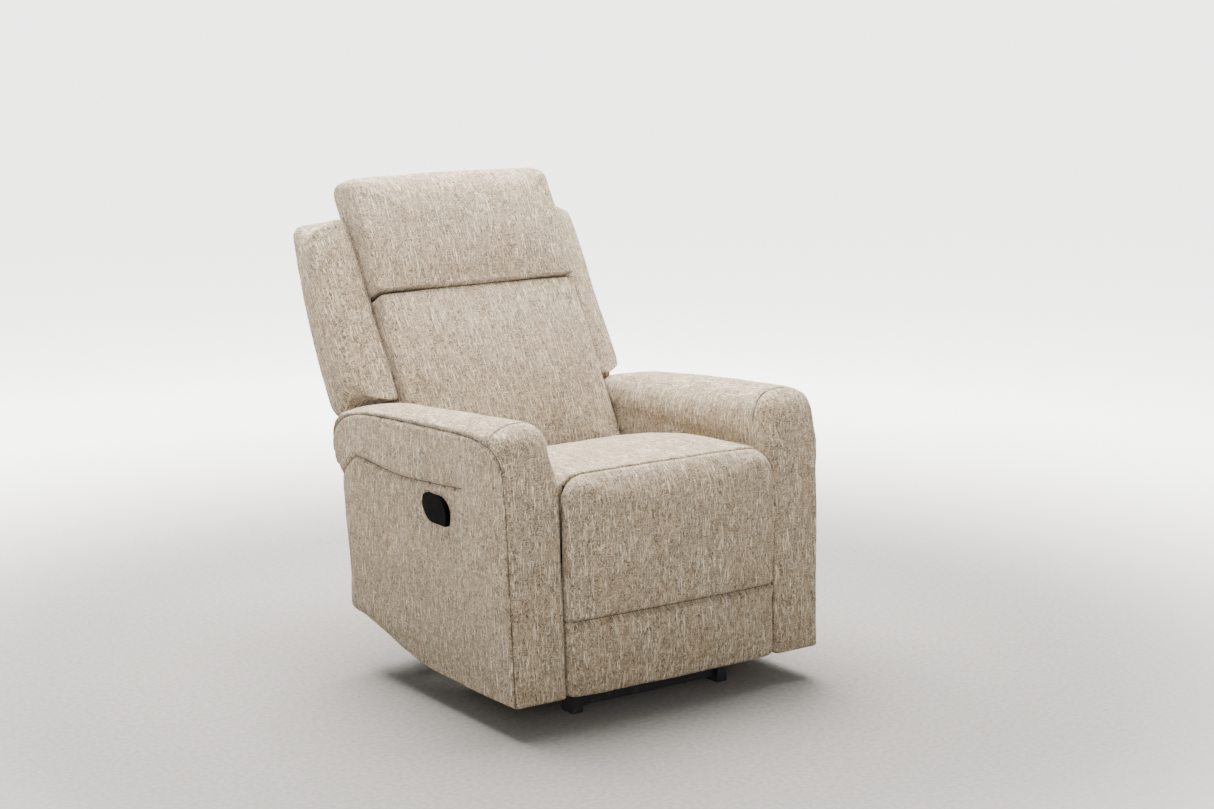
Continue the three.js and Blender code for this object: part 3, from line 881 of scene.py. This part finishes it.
BACK_PANEL_OUTLINE = [
    (0.1325, -0.059),
    (0.174, -0.059, 0.012),
    (0.176, 0.400, 0.120),
    (0.142, 0.636, 0.020),
    (0.104, 0.636),
    (0.104, 0.6275),
    (0.1325, 0.6275),
]
BACK_TOP_SEAM = (0.1415, 0.632)
SKIRT_OUTLINE = [(0.160, 0.080), (0.169, 0.080), (0.1915, 0.299), (0.1825, 0.299)]


def seat():
    """Only its top is swollen: its foot, cheeks, front edge and rear end are held."""
    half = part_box("seat_cushion")[1].x + PROUD

    def crown(t, p, q):
        return 0.004 * smooth(q, 0.42, 0.50) * np.abs(t) ** 4

    def radius(cheek, p, q):
        return 0.003 + 0.009 * smooth(q, 0.40, 0.45)

    def held(x, p, q):
        return (q < 0.44) | (np.abs(x) > half - 0.012) | (p < -0.41) | (p > 0.0)

    shape = shaped(SEAT_OUTLINE, -half, half, crown, radius, shoulder=SEAT_SHOULDER)
    soft_piece(
        "seat", shape, "seat", ["seat_cushion"], puff=puffing(held, 0.012, 0.012), shift=(0.4, 5.2),
    )


def footrest():
    """The front panel, swollen above and below the seam that runs across it and round both ends."""
    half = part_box("footrest_pad")[1].x + PROUD

    def crown(t, p, q):
        return 0.004 * np.abs(t) ** 5

    def radius(cheek, p, q):
        return 0.003 + 0.015 * smooth(-p, 0.448, 0.472)

    def held(x, p, q):
        at_seam = np.abs(q - FOOTREST_SEAM_Z) < 0.012
        return (p > -0.455) | (np.abs(x) > half - 0.012) | at_seam | (q < 0.075)

    line = [(x, -0.483, FOOTREST_SEAM_Z) for x in np.linspace(-half, half, 9)]
    ends = [[(e * half, y, FOOTREST_SEAM_Z) for y in (-0.483, -0.465, -0.447)] for e in (-1, 1)]
    seams = [seam(line, 0.0075, 0.0065, 0.0030, closed=True)]
    seams += [seam(points, 0.0030, 0.0045, 0.0010, closed=True) for points in ends]
    shape = shaped(FOOTREST_OUTLINE, -half, half, crown, radius, shoulder=SEAT_SHOULDER)
    soft_piece(
        "footrest", shape, "footrest", ["footrest_pad"], seams, puff=puffing(held, 0.012, 0.007),
        shift=(7.9, 2.6),
    )


def back_cushions():
    """The lumbar and head cushions, and the strips that line the frame's inside behind their edges."""
    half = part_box("lumbar_cushion")[1].x - 0.0005

    def radius(cheek, p, q):
        at_crease = np.exp(-(((q - HEAD_CREASE) / 0.018) ** 2))
        return (0.004 + 0.018 * smooth(-p, -0.060, -0.025)) * (1 - 0.85 * at_crease)

    def lumbar_held(x, p, q):
        return (p > 0.05) | (q > 0.406) | (q < -0.02) | (np.abs(x) > half - 0.008)

    def head_held(x, p, q):
        return (p > 0.05) | (q < 0.418) | (np.abs(x) > half - 0.008)

    lumbar = even_slab(LUMBAR_OUTLINE, -half, half, 0.005, 0.0)
    lumbar.radius = radius
    soft_piece(
        "lumbar", lumbar, "back", ["lumbar_cushion"], place=LEANING,
        puff=puffing(lumbar_held, 0.012, 0.012), shift=(1.3, 8.4),
    )
    head = even_slab(HEAD_OUTLINE, -half, half, 0.007, 0.0)
    head.radius = radius
    soft_piece(
        "head", head, "back", ["head_cushion"], place=LEANING,
        puff=puffing(head_held, 0.012, 0.010), shift=(2.7, 4.1),
    )
    for side, name in ((-1, "left"), (1, "right")):
        inner, outer = sorted((side * (half + 0.0009), side * (half + 0.0036)))
        border = even_slab(BACK_BORDER_OUTLINE, inner, outer, 0.0, 0.001)
        soft_piece(
            f"back_border_{name}", border, "back", [], place=LEANING, voxel=0.0025,
            shift=(6.1 * side, 0.8),
        )


def wing(name, side):
    """side is -1 for the wing at -X. Its front slants back towards its outer cheek."""
    low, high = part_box(f"wing_{name}")
    out_x = low.x if side < 0 else high.x

    def radius(cheek, p, q):
        front = smooth(-p, -0.150, -0.100)
        return np.where(cheek * side > 0, 0.012 + 0.020 * front, 0.004 + 0.012 * front)

    def crown(t, p, q):
        outward = np.clip(0.5 + 0.5 * t * side, 0, 1)
        return WING_SLANT * outward ** 1.5 * smooth(-p, -0.130, -0.075) * smooth(-q, -0.655, -0.60)

    def held(x, p, q):
        return (np.abs(x - out_x) > 0.08) | (p > 0.165) | (q < 0.21)

    shape = shaped(WING_OUTLINE, low.x, high.x, crown, radius)
    seams = [seam([(out_x - side * 0.006, p, q) for p, q in WING_REAR_SEAM])]
    soft_piece(
        f"wing_{name}_cover", shape, "back", [f"wing_{name}"], seams, place=LEANING,
        puff=puffing(held, 0.012, 0.005), shift=(0.9 * side, 6.6),
    )


def back_panel():
    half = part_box("back_panel")[1].x
    shape = even_slab(BACK_PANEL_OUTLINE, -half, half, 0.002, 0.004, power=8)
    seams = [seam([(x, *BACK_TOP_SEAM) for x in np.linspace(-half, half, 5)])]
    soft_piece(
        "back_outside", shape, "back", ["back_panel"], seams, place=LEANING, voxel=0.0055,
        shift=(5.5, 0.3),
    )


def rear_skirt():
    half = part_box("rear_skirt")[1].x
    shape = even_slab(SKIRT_OUTLINE, -half, half, 0.0, 0.003)
    soft_piece(
        "rear_skirt_cover", shape, "base", ["rear_skirt"], voxel=0.004, shift=(4.4, 3.3),
    )


# ---------------------------------------------------------------- the hard pieces
def finish_frame():
    """Each CAD node gets its finish, and a small bevel where its edges are seen.

    The first rule whose word is in the node's name is the one that holds. The rest is black steel.
    """
    steel = painted("black_powder_coat", rgb(0.012, 0.012, 0.013))
    plastic = painted(
        "black_moulded_plastic", rgb(0.0008, 0.0008, 0.0008), 1400, (0.5, 0.6), 0.00006,
        rgb(0.002, 0.002, 0.002), 0.018,
    )
    bright = zinc()
    lining_for_gap_shade = black_lining_for_gap_shade()
    beech_x = timber("beech_across", rgb(0.50, 0.33, 0.18), rgb(0.34, 0.20, 0.10), 0)
    beech_y = timber("beech_lengthwise", rgb(0.50, 0.33, 0.18), rgb(0.34, 0.20, 0.10), 1)
    beech_z = timber("beech_upright", rgb(0.50, 0.33, 0.18), rgb(0.34, 0.20, 0.10), 2)
    rules = [
        # Black lining on the board, the seat rails, the back's posts and top rail: partly the chair's own
        # lining cloth, partly painted shade for the gaps where these parts show.
        ("footrest_board", lining_for_gap_shade, 0.0006),
        ("seat_side_rail", lining_for_gap_shade, 0.0012),
        ("seat_front_rail", lining_for_gap_shade, 0.0012),
        ("seat_rear_rail", lining_for_gap_shade, 0.0012),
        ("arm_panel", beech_y, 0.0006),
        ("arm_top_rail", beech_y, 0.0012),
        ("back_post", lining_for_gap_shade, 0.0012),
        ("top_rail", lining_for_gap_shade, 0.0012),
        ("middle_rail", beech_x, 0.0012),
        ("bottom_rail", beech_x, 0.0012),
        ("post", beech_z, 0.0012),
        ("spring", bright, 0.0),
        ("torque", bright, 0.0),
        ("cable", plastic, 0.0),
        ("housing", plastic, 0.0008),
        ("bushing", plastic, 0.0005),
        ("release_handle", plastic, 0.0018),
    ]
    for name, node in NODES.items():
        material, bevel = steel, 0.0006
        for word, finish, width in rules:
            if word in name:
                material, bevel = finish, width
                break
        node.data.materials.clear()
        node.data.materials.append(material)
        if bevel:
            modifier = node.modifiers.new("edges", "BEVEL")
            modifier.width = bevel
            modifier.segments = 2
            modifier.limit_method = "ANGLE"
            modifier.angle_limit = math.radians(35)


# ---------------------------------------------------------------- fastenings
PLATE = 0.0045  # thickness of the links' steel
MECHANISM_FACE = 0.229  # outer face of the mechanism plates, from the middle
LINK_END = 0.013  # radius of a lift link's round end
CLEAR = 0.0001  # gap under a fastener's head
SEAT_BOLTS_Y = (-0.275, -0.155, -0.035)
BACK_BOLTS = ((0.014, 0.014), (0.033, 0.0425))  # in from the back bracket's rear and upper edges
TACK_STITCHES = 8
TACK_STEP = 0.0013


def fastener_head(at, way, radius, rise, sides=20):
    """A round fastener head's points and faces: a straight rim, then a dome, standing out along way."""
    axis = Vector(way).normalized()
    across = axis.orthogonal().normalized()
    other = axis.cross(across)
    rim = 0.45 * rise
    rings = [(radius, CLEAR), (radius, rim)]
    for degrees in (20, 42, 64, 80):
        a = math.radians(degrees)
        rings.append((radius * math.cos(a) ** 0.8, rim + (rise - rim) * math.sin(a)))
    points = []
    for reach, height in rings:
        for k in range(sides):
            a = 2 * math.pi * k / sides
            points.append(Vector(at) + axis * height + (across * math.cos(a) + other * math.sin(a)) * reach)
    faces = [list(range(sides))[::-1]]
    for ring in range(len(rings) - 1):
        for k in range(sides):
            low, high = ring * sides + k, ring * sides + (k + 1) % sides
            faces.append([low, high, high + sides, low + sides])
    faces.append([(len(rings) - 1) * sides + k for k in range(sides)])
    return points, faces


def stitch(start, end, normal, width=0.00042, height=0.0007):
    """One short raised thread's points and faces, lying on a surface."""
    across = (end - start).cross(normal).normalized()
    middle = (start + end) / 2 + normal * 0.0004
    points = []
    for spot in (start, middle, end):
        for k in range(6):
            a = math.pi / 3 * k
            points.append(spot + across * (math.cos(a) * width) + normal * (math.sin(a) * height))
    faces = [list(range(6))[::-1], [12 + k for k in range(6)]]
    for low in (0, 6):
        faces += [[low + k, low + (k + 1) % 6, low + 6 + (k + 1) % 6, low + 6 + k] for k in range(6)]
    return points, faces


def gathered(name, parts, material, body):
    """One piece of many small closed forms."""
    points, faces = [], []
    for more, sheet in parts:
        faces += [[n + len(points) for n in face] for face in sheet]
        points += [tuple(point) for point in more]
    mesh = bpy.data.meshes.new(name)
    mesh.from_pydata(points, [], faces)
    made = bmesh.new()
    made.from_mesh(mesh)
    bmesh.ops.recalc_face_normals(made, faces=made.faces)
    made.to_mesh(mesh)
    made.free()
    mesh.polygons.foreach_set("use_smooth", [True] * len(mesh.polygons))
    mesh.set_sharp_from_angle(angle=math.radians(50))
    mesh.materials.append(material)
    piece = linked(name, mesh)
    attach(piece, body)


def hardware():
    """Rivets at the pivots, screws in the brackets and bolts in the seat and the base."""
    finish = zinc()
    pivots = {joint["name"]: Vector(joint["pos_m"]) for joint in frame["joints"] if "pos_m" in joint}
    heads = {}

    def fasten(body, x, y, z, way, radius, rise):
        """A head on each side; x and way are those of the right side."""
        for side in (-1, 1):
            made = fastener_head((side * x, y, z), (side * way[0], way[1], way[2]), radius, rise)
            heads.setdefault(body, []).append(made)

    def rivet(body, x, pivot, outward, radius, rise):
        fasten(body, x, pivot.y, pivot.z, (outward, 0, 0), radius, rise)

    lift_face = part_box("front_lift_link_right")[1].x
    ottoman_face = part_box("ottoman_link_right")[1].x
    for place in ("front", "rear"):
        rivet(f"{place}_lift_links", lift_face, pivots[f"{place}_lift"], 1, 0.008, 0.0016)
        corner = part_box(f"{place}_lift_link_right")[1]
        rivet("seat", lift_face - PLATE, corner - Vector((0, LINK_END, LINK_END)), -1, 0.0108, 0.0018)
    rivet("drive_links", MECHANISM_FACE, pivots["footrest_extend"], 1, 0.0105, 0.0018)
    rivet("ottoman_links", ottoman_face, pivots["ottoman_fold"], 1, 0.008, 0.0018)
    rivet("ottoman_links", ottoman_face - PLATE - 0.0065, pivots["ottoman_fold"], -1, 0.0095, 0.0024)
    rivet("footrest", ottoman_face, pivots["footrest_tilt"], 1, 0.0095, 0.0022)
    rivet("back", MECHANISM_FACE - 0.005, pivots["back_recline"], -1, 0.0105, 0.0034)

    low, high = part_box("footrest_bracket_right")
    for z in np.linspace(low.z + 0.014, high.z - 0.014, 3):
        fasten("footrest", high.x - 0.007, low.y + 0.003, z, (0, 1, 0), 0.0036, 0.0022)
    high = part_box("mechanism_plate_right")[1]
    flange_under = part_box("seat_side_rail_right")[0].z - 0.005
    for y in SEAT_BOLTS_Y:
        fasten("seat", high.x - 0.014, y, flange_under, (0, 0, -1), 0.0062, 0.0034)
    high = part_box("back_bracket_right")[1]
    for y_in, z_in in BACK_BOLTS:
        fasten("back", high.x - 0.0046, high.y - y_in, high.z - z_in, (-1, 0, 0), 0.0062, 0.0034)
    low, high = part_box("base_rail_right")
    rail_x = (low.x + high.x) / 2
    for bar in ("front_arm_bar", "rear_arm_bar"):
        low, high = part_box(bar)
        for y in (low.y + 0.011, high.y - 0.011):
            fasten("base", rail_x, y, high.z, (0, 0, 1), 0.0058, 0.0034)
    for body, parts in heads.items():
        gathered(f"fasteners_{body}", parts, finish, body)


def bar_tack(name, side, arm_piece):
    """The short row of tight stitches that ends an arm's lower side seam."""
    thread = painted(f"tack_thread_{name}", SEAM_DARK, 2600, (0.8, 0.95), 0.0002, BROWN, 0.15)
    (y0, z0), (y1, z1) = PAD_SEAM[-2:]
    along = Vector((0, y1 - y0, z1 - z0)).normalized()
    bpy.context.view_layer.update()
    parts = []
    for k in range(TACK_STITCHES):
        near = Vector((side * 0.4, y1, z1)) - along * (k * TACK_STEP)
        _, spot, normal, _ = arm_piece.closest_point_on_mesh(near)
        reach = along.cross(normal).normalized() * 0.0013 + along * (TACK_STEP * 0.45)
        parts.append(stitch(spot - reach, spot + reach, normal))
    gathered(f"bar_tack_{name}", parts, thread, "base")


def floor():
    """A wide floor, a hair under the feet."""
    mesh = bpy.data.meshes.new("floor")
    corners = [(FLOOR_REACH * x, FLOOR_REACH * y, 0) for x, y in ((-1, -1), (1, -1), (1, 1), (-1, 1))]
    mesh.from_pydata(corners, [], [(0, 1, 2, 3)])
    mesh.materials.append(stage_floor())
    made = linked("floor", mesh)
    made.location.z = -0.0005


set_up_camera()
set_up_light()
floor()
FABRIC = chenille()
finish_frame()
for side, name in ((-1, "left"), (1, "right")):
    bar_tack(name, side, arm(name, side))
seat()
footrest()
back_cushions()
wing("left", -1)
wing("right", 1)
back_panel()
rear_skirt()
hardware()

bpy.context.view_layer.update()
